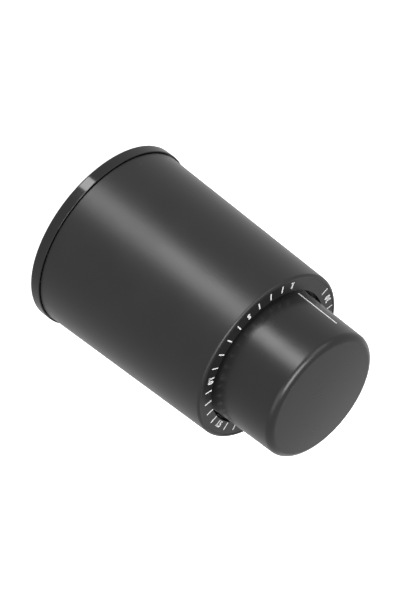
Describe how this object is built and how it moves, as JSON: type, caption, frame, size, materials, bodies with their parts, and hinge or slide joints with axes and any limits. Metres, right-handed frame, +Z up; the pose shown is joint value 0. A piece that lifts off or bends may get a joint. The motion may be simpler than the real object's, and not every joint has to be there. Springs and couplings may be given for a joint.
{
  "type": "vacuum bottle stopper",
  "caption": "Push-to-pump vacuum stopper for a wine bottle: tapered sleeve, gloss base ring, flat day-of-month dial and a round press-and-turn knob with a pointer line.",
  "frame": {"origin": "middle of the base ring's underside, where the stopper stands open end down", "axes": "+Z up along the stopper's axis towards the knob; -Y through the middle of the dial's blank sector"},
  "size_m": [0.0442, 0.0442, 0.0668],
  "materials": {
    "soft_touch_black": "soft-touch matte paint",
    "gloss_black": "polished",
    "dial_black": "satin",
    "white_ink": "pad-printed ink",
    "silicone": "moulded silicone",
    "inner_plastic": "moulded",
    "acetal": "moulded acetal",
    "steel": "bright drawn"
  },
  "bodies": {
    "housing": {"outer_shell": "soft_touch_black", "base_ring": "gloss_black", "inner_body": "inner_plastic", "body_screws": "steel", "neck_seal": "silicone", "dial_ring": "dial_black", "dial_scale": "white_ink", "pump_barrel": "inner_plastic", "barrel_seal": "silicone", "rod_bush": "acetal", "valve_cage": "acetal"},
    "inlet_valve": {"inlet_disc": "silicone"},
    "plunger": {"piston_rod": "acetal", "piston_head": "acetal", "piston_cup": "silicone", "spring_washer": "steel", "return_spring": "steel", "knob_washer": "steel"},
    "knob": {"push_knob": "soft_touch_black", "pointer_line": "white_ink", "knob_screw": "steel", "friction_ring": "silicone"}
  },
  "joints": [
    {"name": "press", "type": "slide", "parent": "housing", "child": "plunger", "axis": [0, 0, -1], "range_m": [0, 0.011], "stiffness_N_per_m": 550, "springref_m": -0.008, "deforming": ["return_spring"]},
    {"name": "date_turn", "type": "hinge", "parent": "plunger", "child": "knob", "pos_m": [0, 0, 0.056], "axis": [0, 0, 1], "continuous": true},
    {"name": "inlet_lift", "type": "slide", "parent": "housing", "child": "inlet_valve", "axis": [0, 0, 1], "range_m": [0, 0.0008]}
  ]
}
